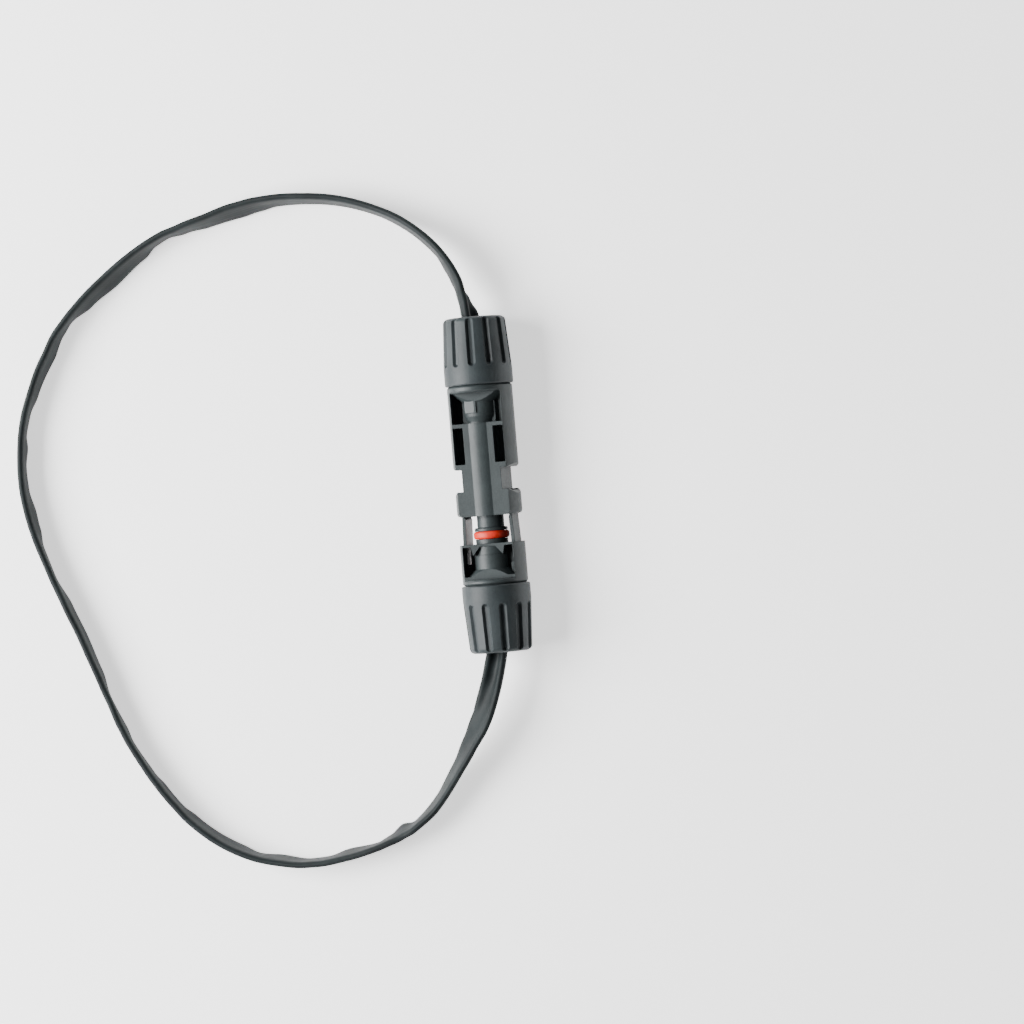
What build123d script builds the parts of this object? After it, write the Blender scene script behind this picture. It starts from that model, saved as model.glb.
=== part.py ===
"""Solar cable connector: a locking two-part plug pair on the ends of one flat braided bonding lead.

Millimetres. +Y runs along the connector from the socket side to the pin side, +Z is up, and the
origin is on the ground under the middle of the pair. The lead's loop lies to the -X side.
"""
from build123d import *
from math import atan2, degrees, pi, radians, sqrt, tan
import os

# ---------------------------------------------------------------- clearances
SLIDE_FIT = 0.05             # pins in bores, knuckles in seats
RUNNING = 0.1                # round pieces that slide in each other
LOOSE = 0.15                 # thread crests, cones
GAP = 0.3                    # parts that pass each other
CHANNEL_GAP = 0.12           # round face of a barb in its channel
CORE_GAP = 0.282             # pressed finger's tip to the pin housing's core

# ---------------------------------------------------------------- driving sizes
# How far apart the two housings stand
MATE_GAP = 7.9               # at rest, latches not yet home
MATED_GAP = 0.5              # when the latches have snapped home

# Contacts
PIN_RADIUS = 2.0
PIN_ENGAGE = 11.5            # how deep the pin sits in the socket contact when mated
PIN_TIP_CONE = 1.0
PIN_TIP_DROP = 0.8           # how much smaller the pin's tip is
SLEEVE_WALL = 0.8
SLEEVE_SPARE = 2.5           # bore left beyond the mated pin
SLEEVE_RECESS = 1.5          # socket contact's tip behind the probe's end
BRAID_RADIUS = 2.2
BARREL_WALL = 0.6
BARREL_OUT = 0.5             # barrel's end past the nut seam
BARREL_FLOOR = 0.4           # solid metal ahead of the barrel's bore
SIGHT_RADIUS = 0.4           # inspection hole in the barrel
CONTACT_FLANGE_RISE = 0.4    # stop flange over the barrel
CONTACT_FLANGE_LENGTH = 1.4
CONTACT_NECK_DROP = 0.3      # clip groove under the barrel
CLIP_LENGTH = 3.2
CLIP_THICK = 0.3
CLIP_SLIT = 1.6
CLIP_TAB_HALF = 0.7
CHAMBER_DEPTH = 10.3         # from the nut seam to the contact's stop
LAMELLA_LENGTH = 5.0
LAMELLA_SECTION = 0.25
LAMELLA_START = 2.0          # behind the socket contact's tip
LAMELLA_SLITS = 8
LAMELLA_SLIT = 0.3
LAMELLA_RIM = 0.8

# Probe of the socket housing and its seal ring
PROBE_LENGTH = 21.5
PROBE_WALL = 0.85
PROBE_BASE_DROP = 0.5        # probe's base under the ring seal
PROBE_BASE_LENGTH = 1.3
FLANGE_DROP = 0.4            # flange ahead of the ring, under the ring
FLANGE_LENGTH = 1.0
RING_WIDTH = 2.2
RING_RISE = 1.25             # ring seal's outside over the probe
RING_SECTION = 1.35          # its radial thickness
END_BEVEL = 0.4              # small bevels of bores and tips

# Mating bore of the pin housing
MOUTH_DEPTH = 6.0            # wide part of the bore, which the ring seal enters
TUBE_END_GAP = 1.5           # left ahead of the mated probe
PARTITION = 4.3              # plastic between the mating bore and the contact chamber
CORE_WALL = 0.55             # core beside the wide bore
TUBE_WALL = 0.9              # mating tube, proud of the flat faces
INNER_WALL = 1.0             # mating tube inside the windows

# Latch fingers
FINGER_THICK = 1.05
FINGER_ROOT = 7.0            # bending line, behind the front face
BARB_RELIEF = 0.35           # barb's inner face set outwards
BARB_TIP_RAMP = 3.2
BARB_TIP_DROP = 0.35
BARB_HEEL = 0.8              # slope from the shank's to the barb's inner face
BARB_CROWN = 0.08
BARB_PLAY = 0.3              # between the mated barb and its ledge
REST_LEAN = 2.2              # degrees the collar presses a finger inwards at rest
SQUEEZE = 1.2                # degrees more that a thumb can press it
KNUCKLE_RADIUS = 0.9
KNUCKLE_SHOULDER = 0.9       # narrow part of a finger ahead of its knuckle
KNUCKLE_STEP = 1.0           # how much narrower the knuckle is, each side
LEDGE_LENGTH = 1.8           # part of the collar that the barb catches behind

# Pin housing
FLAT_HALF = 5.5              # half height across the flat faces
BARB_COVER = 0.774           # body's round side over the barbs
COLLAR_LENGTH = 7.2
COLLAR_BEVEL = 1.5           # bevel towards the notch
COLLAR_ROUND = 1.0
NOTCH_LENGTH = 6.2
NOTCH_BEVEL = 0.95
BARB_SPARE = 0.7             # notch longer than the barb
END_RIB = 1.5                # between notch and windows
CROSS_RIB = 1.1              # between windows and rear recess
REAR_RECESS = 8.7
OUTER_WALL = 1.9             # body's sides beside the windows
WEB_LAP = 0.7                # how far the middle web laps over the tube
POCKET_ROUND = 0.3
MID_PLATE = 1.5              # half thickness of the plate left between front and back windows
REAR_WALL = 1.6              # rear cylinder round the contact chamber
WAIST_DROP = 0.75            # rear cylinder over its waist behind the cross rib
WAIST_LENGTH = 2.9           # from the cross rib to the full rear cylinder
WEB_SPREAD = 0.4             # middle web wider beside the rear cylinder and the socket's core
WEB_DROP = 2.8               # web's ledges beside the rear cylinder, under the flat faces
SHOULDER = 2.0
SHOULDER_CHAMFER = 0.5
SHOULDER_LAP = 0.5           # how far a body reaches into its shoulder ring
CONE_LENGTH = 3.3
PAD_HALF_WIDTH = 1.9
PAD_RISE = 0.2
PAD_LEAN = 20                # degrees the pad is turned round the rear cylinder

# Socket housing
SOCKET_BODY_LENGTH = 11.6    # front face to the nut seam
SOCKET_RIB = 0.7
SOCKET_SHOULDER = 1.6
SOCKET_BAND = 0.9            # left between the windows and the shoulder
SOCKET_CONE = 3.6            # cone's length, up to the shoulder
SOCKET_RIM = 0.6             # cone's end under the body's round side
STEP_AT = 3.1                # small step on the central cylinder
STEP_RISE = 0.15
SOCKET_CORE_RISE = 0.85      # socket's core between the windows, over the probe's base
GUSSET_LENGTH = 2.5
GUSSET_SPREAD = 0.6
SEAT_WALL = 1.1              # block beside a knuckle, inwards of it

# Lead
CORD_DIAMETER = 6.1          # the flat sleeve folded into a bundle
EXIT_RUN = 10.9              # first and last points outside the nuts
CORD_OVERLAP = 4.55          # how far the lead reaches into a nut's cable hole

# Cable seal, clamp cage and the screw neck round them
SEAL_LENGTH = 7.4
SEAL_WALL = 1.2
SEAL_RIBS = 3
SEAL_RIB = 0.05
CAGE_WALL = 0.95
CAGE_START = 0.6             # behind the seam
CAGE_RING = 5.4              # length of its closed ring
CAGE_LENGTH = 13.2
CAGE_CONE = 3.4              # taper of the fingers' ends
CAGE_FINGERS = 6
CAGE_SLOT = 1.0
KEY_HALF = 0.8
NECK_LENGTH = 9.5
NECK_WALL = 1.05
THREAD_DEPTH = 0.6
THREAD_PITCH = 1.5
THREAD_SUNK = 0.15           # thread's root in the neck
THREAD_END = 0.8             # share of a pitch left plain at each end
THREAD_FOOT = 0.38           # half width of the thread's foot, in pitches
THREAD_CREST = 0.12          # half width of its crest, in pitches

# Gland nuts
NUT_LENGTH = 19.25
NUT_STEP = 0.45              # nut's mouth over the body's round side
NUT_TAPER = 0.95             # mouth over rear end
NUT_REAR_ROUND = 1.5
NUT_SEAM = 0.1               # gap between a housing's shoulder and its nut
NUT_EDGE = 0.3               # bevel of its mouth
NUT_CYLINDER = 4.4           # cylindrical part of the smooth band
NUT_BAND = 5.0               # smooth band ahead of the grooves
NUT_GROOVES = 12
GROOVE_FLAT = 0.9            # width of a groove's floor
GROOVE_DEPTH = 0.8           # the same all along the taper
GROOVE_FLARE = 42            # lean of its side walls in degrees
GROOVE_REAR = 0.8            # from the nut's rear end to the end of a groove's floor
GROOVE_PHASE = 6             # degrees from the top to the nearest groove when the nut is tight
HOLE_MARGIN = 1.3            # cable hole round the lead

# ---------------------------------------------------------------- derived sizes
# Radii, from the contact outwards
SLEEVE_BORE = PIN_RADIUS + SLIDE_FIT
SLEEVE_RADIUS = SLEEVE_BORE + SLEEVE_WALL
PIN_HOLE = PIN_RADIUS + LOOSE
BARREL_BORE = BRAID_RADIUS + RUNNING
BARREL_RADIUS = BARREL_BORE + BARREL_WALL
CONTACT_FLANGE = max(BARREL_RADIUS, SLEEVE_RADIUS + SLIDE_FIT) + CONTACT_FLANGE_RISE
CONTACT_NECK = BARREL_RADIUS - CONTACT_NECK_DROP
CHAMBER_RADIUS = CONTACT_FLANGE + GAP
PROBE_BORE = SLEEVE_RADIUS + LOOSE
PROBE_RADIUS = PROBE_BORE + PROBE_WALL
RING_RADIUS = PROBE_RADIUS + RING_RISE
PROBE_BASE = RING_RADIUS - PROBE_BASE_DROP
FLANGE_RADIUS = RING_RADIUS - FLANGE_DROP
MOUTH_BORE = RING_RADIUS + RUNNING
TUBE_BORE = PROBE_RADIUS + 2.5 * RUNNING
TUBE_RADIUS = MOUTH_BORE + TUBE_WALL
INNER_TUBE = TUBE_BORE + INNER_WALL
WINDOW_INNER = INNER_TUBE - WEB_LAP
REAR_CYLINDER = CHAMBER_RADIUS + REAR_WALL
CORE_HALF = MOUTH_BORE + CORE_WALL
REAR_WEB = WINDOW_INNER + WEB_SPREAD
SOCKET_CORE = PROBE_BASE + SOCKET_CORE_RISE

# Lengths along the connector
TUBE_DEPTH = PROBE_LENGTH - MATED_GAP + TUBE_END_GAP
PIN_BODY_LENGTH = TUBE_DEPTH + PARTITION + CHAMBER_DEPTH
SLEEVE_REACH = PROBE_LENGTH - SLEEVE_RECESS
PIN_TIP = SLEEVE_REACH - MATED_GAP - PIN_ENGAGE
SLEEVE_BORE_DEPTH = PIN_ENGAGE + SLEEVE_SPARE
FLANGE_START = PROBE_BASE_LENGTH + RING_WIDTH + RUNNING
NOTCH_END = COLLAR_LENGTH + NOTCH_LENGTH
WINDOW_START = NOTCH_END + END_RIB
SHOULDER_START = PIN_BODY_LENGTH - SHOULDER
REAR_START = SHOULDER_START - REAR_RECESS
WINDOW_END = REAR_START - CROSS_RIB
SOCKET_SHOULDER_START = SOCKET_BODY_LENGTH - SOCKET_SHOULDER
SOCKET_CONE_START = SOCKET_SHOULDER_START - SOCKET_CONE

# Latch fingers and the room for them
BARB_LENGTH = NOTCH_LENGTH - BARB_SPARE
FINGER_REACH = MATED_GAP + COLLAR_LENGTH + BARB_PLAY + BARB_LENGTH
BARB_FROM_ROOT = FINGER_ROOT + FINGER_REACH - BARB_LENGTH
FINGER_SWING = (FINGER_ROOT + FINGER_REACH) * tan(radians(REST_LEAN + SQUEEZE))
FINGER_OUTER = CORE_HALF + CORE_GAP + FINGER_SWING - BARB_RELIEF + FINGER_THICK
FINGER_INNER = FINGER_OUTER - FINGER_THICK
LEDGE = FINGER_OUTER + RUNNING
BARB_OUTER = FINGER_OUTER + BARB_FROM_ROOT * tan(radians(REST_LEAN))
BARB_ROUND = BARB_OUTER + BARB_CROWN
CHANNEL_ROUND = BARB_ROUND + CHANNEL_GAP
HINGE_X = FINGER_OUTER - FINGER_THICK / 2
FINGER_HALF_HEIGHT = FLAT_HALF - 2.0
FINGER_SLOT_HALF = FINGER_HALF_HEIGHT + GAP
KNUCKLE_HALF = FINGER_HALF_HEIGHT - KNUCKLE_STEP
KNUCKLE_FRONT = FINGER_ROOT - KNUCKLE_RADIUS - 0.5

# Stations of the contacts' rear ends, from the nut seam
CONTACT_STOP = 0.2 - CHAMBER_DEPTH
CONTACT_NECK_START = CONTACT_STOP + CONTACT_FLANGE_LENGTH
BARREL_START = CONTACT_NECK_START + CLIP_LENGTH + 0.4
TAIL_START = BARREL_OUT + 0.8

# Bodies and nuts
BODY_RADIUS = BARB_OUTER + BARB_COVER
WINDOW_OUTER = BODY_RADIUS - OUTER_WALL
CORD_RADIUS = CORD_DIAMETER / 2
SEAL_INNER = CORD_RADIUS + RUNNING
SEAL_OUTER = SEAL_INNER + SEAL_WALL
CAGE_INNER = SEAL_OUTER + SEAL_RIB + SLIDE_FIT
CAGE_OUTER = CAGE_INNER + CAGE_WALL
NECK_BORE = CAGE_OUTER + RUNNING
NECK_ROOT = NECK_BORE + NECK_WALL
NECK_CREST = NECK_ROOT + THREAD_DEPTH
NUT_BORE = NECK_CREST + LOOSE
NUT_MOUTH_RADIUS = BODY_RADIUS + NUT_STEP
NUT_REAR_RADIUS = NUT_MOUTH_RADIUS - NUT_TAPER
NUT_SLOPE = degrees(atan2(NUT_TAPER, NUT_LENGTH - NUT_CYLINDER))
CABLE_HOLE = CORD_RADIUS + HOLE_MARGIN
NUT_END = NUT_SEAM + NUT_LENGTH
CORD_START = NUT_END - CORD_OVERLAP

# Places in the row's frame
PAIR_LENGTH = 2 * NUT_END + PIN_BODY_LENGTH + MATE_GAP + SOCKET_BODY_LENGTH
PIN_SEAM_Y = PAIR_LENGTH / 2 - NUT_END
PIN_MOUTH_Y = PIN_SEAM_Y - PIN_BODY_LENGTH
SOCKET_FRONT_Y = PIN_MOUTH_Y - MATE_GAP
SOCKET_SEAM_Y = SOCKET_FRONT_Y - SOCKET_BODY_LENGTH
AXIS_Z = NUT_MOUTH_RADIUS
LIE = CORD_DIAMETER / 2      # height of the lead's centre line where it lies


# ---------------------------------------------------------------- drawing helpers
def bar(start, end, radius):
    """Round bar about the connector's axis."""
    return Pos(0, (start + end) / 2, 0) * Rot(90, 0, 0) * Cylinder(radius, end - start)


def block(left, right, start, end, bottom, top):
    """Square block given by its six faces."""
    centre = Pos((left + right) / 2, (start + end) / 2, (bottom + top) / 2)
    return centre * Box(right - left, end - start, top - bottom)


def turned(*outline):
    """Solid of revolution about the axis from (station, radius) corners."""
    corners = [(0, station, radius) for station, radius in outline]
    return revolve(make_face(Polyline(*corners, close=True)), Axis.Y, 360)


def tube(start, end, outer, inner):
    """Round tube about the axis."""
    return turned((start, inner), (start, outer), (end, outer), (end, inner))


def flat_sided(start, end, radius):
    """Round bar with the housings' two flat faces."""
    return bar(start, end, radius) & block(-radius, radius, start, end, -FLAT_HALF, FLAT_HALF)


def both_sides(piece):
    """The piece and its mirror image across the connector's middle plane."""
    return piece + mirror(piece, Plane.YZ)


def prism(corners, bottom, top):
    """Upright prism from (x, station) corners between two heights."""
    face = make_face(Polyline(*[(x, station, bottom) for x, station in corners], close=True))
    return extrude(face, top - bottom, dir=(0, 0, 1))


def around(piece, count):
    """Copies of a piece evenly round the axis."""
    return [Rot(0, 360 / count * turn, 0) * piece for turn in range(count)]


# ---------------------------------------------------------------- cable gland, rearwards from the seam
def screw_neck():
    """Threaded neck with the cage's bore, two key slots and the contact chamber."""
    neck = bar(0, NECK_LENGTH, NECK_ROOT)
    neck = chamfer(neck.edges().filter_by(GeomType.CIRCLE).sort_by(Axis.Y)[-1], 0.3)
    helix_start = THREAD_PITCH * THREAD_END
    helix_length = NECK_LENGTH - 2 * helix_start
    path = Helix(THREAD_PITCH, helix_length, NECK_ROOT, center=(0, helix_start, 0), direction=(0, 1, 0))
    foot = THREAD_PITCH * THREAD_FOOT
    crest = THREAD_PITCH * THREAD_CREST
    section = Plane(origin=path @ 0, x_dir=(0, 1, 0), z_dir=path % 0)
    outward = (path @ 0) - Vector(0, helix_start, 0)
    sign = 1 if section.y_dir.dot(outward) > 0 else -1
    root = -THREAD_SUNK * sign
    height = THREAD_DEPTH * sign
    corners = [(-foot, root), (foot, root), (crest, height), (-crest, height)]
    profile = section * make_face(Polyline(*corners, close=True))
    thread = sweep(profile, path, is_frenet=True)
    neck = neck + thread
    neck -= bar(CAGE_START, NECK_LENGTH + 1, NECK_BORE)
    slot = block(-KEY_HALF - 0.2, KEY_HALF + 0.2, CAGE_START, NECK_LENGTH + 1, 0, NECK_BORE + 0.6)
    for cut in around(slot, 2):
        neck -= cut
    return neck


def gland_nut():
    """Cap nut: smooth band, tapered grip with grooves, thread bore, clamping cone and cable hole."""
    thread_end = NECK_LENGTH + GAP + NUT_SEAM
    cone_start = CAGE_START + CAGE_LENGTH - 4.0
    cone_end = CAGE_START + CAGE_LENGTH + 0.6
    rim = NUT_EDGE
    nut = turned((NUT_SEAM, 0), (NUT_SEAM, NUT_MOUTH_RADIUS - rim), (NUT_SEAM + rim, NUT_MOUTH_RADIUS),
                 (NUT_SEAM + NUT_CYLINDER, NUT_MOUTH_RADIUS), (NUT_END, NUT_REAR_RADIUS), (NUT_END, 0))
    nut = fillet(nut.edges().filter_by(GeomType.CIRCLE).sort_by(Axis.Y)[-1], NUT_REAR_ROUND)
    start = NUT_SEAM + NUT_BAND + GROOVE_DEPTH
    end = NUT_END - GROOVE_REAR
    middle = (start + end) / 2
    floor = NUT_REAR_RADIUS + (NUT_END - middle) * tan(radians(NUT_SLOPE)) - GROOVE_DEPTH
    slot = Rot(0, 0, 90) * SlotOverall(end - start, GROOVE_FLAT)
    flared = extrude(slot, GROOVE_DEPTH + 1, taper=-GROOVE_FLARE)
    groove = Pos(0, middle, floor) * Rot(-NUT_SLOPE, 0, 0) * flared
    for cut in around(Rot(0, GROOVE_PHASE, 0) * groove, NUT_GROOVES):
        nut -= cut
    nut -= turned((0, 0), (0, NUT_BORE + 0.4), (NUT_SEAM + 0.4, NUT_BORE), (thread_end, NUT_BORE),
                  (thread_end, CAGE_OUTER + GAP), (cone_start, CAGE_OUTER + GAP), (cone_end, CABLE_HOLE),
                  (NUT_END - 0.4, CABLE_HOLE), (NUT_END + 0.1, CABLE_HOLE + 0.5), (NUT_END + 0.1, 0))
    return nut


def clamp_cage():
    """Collet: a keyed ring with sprung fingers whose lips close on the lead."""
    ring_end = CAGE_START + CAGE_RING
    tip = CAGE_START + CAGE_LENGTH
    lip_inner = CORD_RADIUS + GAP
    lip_start = CAGE_START + RUNNING + SEAL_LENGTH + 0.6
    taper_start = tip - CAGE_CONE
    foot = CAGE_START + RUNNING
    cage = turned((foot, CAGE_INNER), (foot, CAGE_OUTER), (taper_start, CAGE_OUTER), (tip, CABLE_HOLE),
                  (tip, lip_inner), (lip_start + 1.2, lip_inner), (lip_start, CAGE_INNER))
    half = CAGE_SLOT / 2
    slot = block(-half, half, ring_end, tip + 1, 0, CAGE_OUTER + 1)
    for cut in around(slot, CAGE_FINGERS):
        cage -= cut
    key = block(-KEY_HALF, KEY_HALF, CAGE_START + 0.4, ring_end, CAGE_INNER + 0.2, NECK_BORE + 0.4)
    for lug in around(key, 2):
        cage += lug
    return cage


def cable_seal():
    """Soft sleeve with three sealing ribs, inside the cage."""
    start = CAGE_START + 0.4
    end = start + SEAL_LENGTH
    outline = [(start, SEAL_INNER), (start, SEAL_OUTER)]
    pitch = SEAL_LENGTH / SEAL_RIBS
    crest = SEAL_OUTER + SEAL_RIB
    for index in range(SEAL_RIBS):
        foot = start + index * pitch
        outline += [(foot + pitch * 0.25, SEAL_OUTER), (foot + pitch * 0.4, crest),
                    (foot + pitch * 0.6, crest), (foot + pitch * 0.75, SEAL_OUTER)]
    outline += [(end, SEAL_OUTER), (end, SEAL_INNER)]
    return turned(*outline)


def contact_rear():
    """Stop flange, clip groove and open crimp barrel, shared by both contacts."""
    floor = BARREL_START + BARREL_FLOOR
    rear = turned((CONTACT_STOP, 0), (CONTACT_STOP, CONTACT_FLANGE), (CONTACT_NECK_START, CONTACT_FLANGE),
                  (CONTACT_NECK_START, CONTACT_NECK), (BARREL_START, CONTACT_NECK),
                  (BARREL_START, BARREL_RADIUS), (BARREL_OUT, BARREL_RADIUS), (BARREL_OUT, BARREL_BORE),
                  (floor, BARREL_BORE), (floor, 0))
    up = (Align.CENTER, Align.CENTER, Align.MIN)
    sight = Pos(0, floor + 0.5, 0) * Cylinder(SIGHT_RADIUS, BARREL_RADIUS + 1, align=up)
    return rear - sight


def retaining_clip():
    """Split spring ring with two tabs that stop the contact backing out."""
    start = CONTACT_NECK_START + LOOSE
    end = start + CLIP_LENGTH
    inner = CONTACT_NECK + SLIDE_FIT
    outer = inner + CLIP_THICK
    clip = tube(start, end, outer, inner)
    clip -= block(-CLIP_SLIT / 2, CLIP_SLIT / 2, start - 1, end + 1, 0, CHAMBER_RADIUS)
    tab = prism([(inner + 0.1, start + 0.4), (outer, start + 0.4), (CHAMBER_RADIUS - RUNNING, end - 0.3),
                 (inner + 0.1, end - 0.3)], -CLIP_TAB_HALF, CLIP_TAB_HALF)
    return clip + both_sides(tab)


def braid_end():
    """Bare tinned braid crimped into the barrel."""
    return bar(BARREL_START + BARREL_FLOOR + RUNNING, TAIL_START, BRAID_RADIUS)


def cable_tail():
    """The lead's folded bundle inside the gland, up to the bare braid."""
    return bar(TAIL_START, CORD_START, CORD_RADIUS)


# ---------------------------------------------------------------- pin housing, rearwards from its mouth
def shoulder_ring(start, end):
    """Round shoulder with bevelled edges, against which the nut closes."""
    low = BODY_RADIUS - SHOULDER_CHAMFER
    return turned((start, 0), (start, low), (start + SHOULDER_CHAMFER, BODY_RADIUS),
                  (end - SHOULDER_CHAMFER, BODY_RADIUS), (end, low), (end, 0))


def latch_channels():
    """Room for both fingers through the collar, with the ledge the barbs catch behind."""
    ledge_start = COLLAR_LENGTH - LEDGE_LENGTH
    way = block(CORE_HALF, LEDGE, -1, COLLAR_LENGTH + 1, -FINGER_SLOT_HALF, FINGER_SLOT_HALF)
    lead_in = block(CORE_HALF, BODY_RADIUS, -1, ledge_start, -FINGER_SLOT_HALF, FINGER_SLOT_HALF)
    way = (way + lead_in) & bar(-1, COLLAR_LENGTH + 1, CHANNEL_ROUND)
    return both_sides(way)


def notches():
    """Side notches that the barbs snap into, with bevelled ends."""
    corner = sqrt(BODY_RADIUS ** 2 - FLAT_HALF ** 2)
    beyond = BODY_RADIUS + 1
    slope = (beyond - corner) / (BODY_RADIUS - corner)
    front = COLLAR_LENGTH - COLLAR_BEVEL * slope
    rear = NOTCH_END + NOTCH_BEVEL * slope
    outline = [(CORE_HALF, COLLAR_LENGTH), (corner, COLLAR_LENGTH), (beyond, front), (beyond, rear),
               (corner, NOTCH_END), (CORE_HALF, NOTCH_END)]
    return both_sides(prism(outline, -FLAT_HALF - 1, FLAT_HALF + 1))


def window_pockets(start, end):
    """Blind moulding pockets either side of the middle web, front and back."""
    pocket = block(WINDOW_INNER, WINDOW_OUTER, start, end, MID_PLATE, FLAT_HALF + 1)
    pocket = fillet(pocket.edges().filter_by(Axis.Z), POCKET_ROUND)
    return both_sides(pocket + mirror(pocket, Plane.XY))


def rear_recess():
    """Pockets either side of the rear cylinder and its web, closed by the cone towards the shoulder."""
    hollow = block(-WINDOW_OUTER, WINDOW_OUTER, REAR_START, SHOULDER_START, MID_PLATE, FLAT_HALF + 1)
    hollow += mirror(hollow, Plane.XY)
    taper_end = REAR_START + WAIST_LENGTH
    cone_start = SHOULDER_START - CONE_LENGTH + 0.6
    waist = REAR_CYLINDER - WAIST_DROP
    wide = REAR_CYLINDER + CONE_LENGTH + 0.4
    cylinder = turned((REAR_START - 1, 0), (REAR_START - 1, waist), (REAR_START + 0.4, waist),
                      (taper_end - 1.0, REAR_CYLINDER - 0.15), (taper_end, REAR_CYLINDER),
                      (SHOULDER_START + 1, REAR_CYLINDER), (SHOULDER_START + 1, 0))
    cone = turned((cone_start, 0), (cone_start, REAR_CYLINDER), (cone_start + CONE_LENGTH, wide),
                  (SHOULDER_START + 1, wide + 0.75), (SHOULDER_START + 1, 0))
    pad = block(-PAD_HALF_WIDTH, PAD_HALF_WIDTH, taper_end, cone_start + 0.4,
                -REAR_CYLINDER - PAD_RISE, REAR_CYLINDER + PAD_RISE)
    core = cylinder + Rot(0, -PAD_LEAN, 0) * pad
    ledge = FLAT_HALF - WEB_DROP
    core += block(-REAR_WEB, REAR_WEB, REAR_START - 1, SHOULDER_START + 1, -ledge, ledge)
    core &= block(-REAR_WEB, REAR_WEB, REAR_START - 1, SHOULDER_START + 1, -FLAT_HALF, FLAT_HALF)
    return hollow - core - cone


def pin_housing():
    """Long housing: collar, notches, ribbed body, mating bore and screw neck."""
    body_end = SHOULDER_START + SHOULDER_LAP
    front = BODY_RADIUS - COLLAR_ROUND
    step_in = COLLAR_ROUND * 0.3
    outside = turned((0, 0), (0, front), (step_in, BODY_RADIUS - step_in), (COLLAR_ROUND, BODY_RADIUS),
                     (body_end, BODY_RADIUS), (body_end, 0))
    body = outside & block(-BODY_RADIUS, BODY_RADIUS, 0, body_end, -FLAT_HALF, FLAT_HALF)
    body -= notches()
    body -= window_pockets(WINDOW_START, WINDOW_END)
    body -= rear_recess()
    body += bar(NOTCH_END, REAR_START, INNER_TUBE)
    web = block(-WINDOW_INNER, WINDOW_INNER, 0, REAR_START, -TUBE_RADIUS, TUBE_RADIUS)
    body += bar(0, REAR_START, TUBE_RADIUS) & web
    body += shoulder_ring(SHOULDER_START, PIN_BODY_LENGTH)
    body += Pos(0, PIN_BODY_LENGTH, 0) * screw_neck()
    body -= latch_channels()
    step = MOUTH_BORE - TUBE_BORE
    mouth = MOUTH_BORE + END_BEVEL
    chamber = PIN_BODY_LENGTH - CHAMBER_DEPTH
    chamber_end = PIN_BODY_LENGTH + CAGE_START + RUNNING
    body -= turned((-1, 0), (-1, mouth), (0, mouth), (END_BEVEL, MOUTH_BORE), (MOUTH_DEPTH, MOUTH_BORE),
                   (MOUTH_DEPTH + step, TUBE_BORE), (TUBE_DEPTH, TUBE_BORE), (TUBE_DEPTH, PIN_HOLE),
                   (chamber, PIN_HOLE), (chamber, CHAMBER_RADIUS), (chamber_end, CHAMBER_RADIUS),
                   (chamber_end, 0))
    return body


def pin_contact():
    """Turned contact pin with its crimp barrel."""
    end = PIN_BODY_LENGTH + CONTACT_STOP + 0.1
    pin = turned((PIN_TIP, 0), (PIN_TIP, PIN_RADIUS - PIN_TIP_DROP), (PIN_TIP + PIN_TIP_CONE, PIN_RADIUS),
                 (end, PIN_RADIUS), (end, 0))
    return pin + Pos(0, PIN_BODY_LENGTH, 0) * contact_rear()


# ---------------------------------------------------------------- socket housing, rearwards from its front
def finger_pockets():
    """Room for each latch finger, its bending line and its swing."""
    half = FINGER_SLOT_HALF
    inner = FINGER_INNER - FINGER_ROOT * tan(radians(REST_LEAN + SQUEEZE)) - GAP
    pocket = block(inner, FINGER_OUTER + GAP, -1, KNUCKLE_FRONT, -half, half)
    pocket = pocket & bar(-1, KNUCKLE_FRONT, CHANNEL_ROUND)
    throat = block(FINGER_INNER - LOOSE, FINGER_OUTER + RUNNING, KNUCKLE_FRONT - 0.1, FINGER_ROOT,
                   -half, half)
    seat = Pos(HINGE_X, FINGER_ROOT, 0) * Cylinder(KNUCKLE_RADIUS + SLIDE_FIT, 2 * half)
    return both_sides(pocket + throat + seat)


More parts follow.
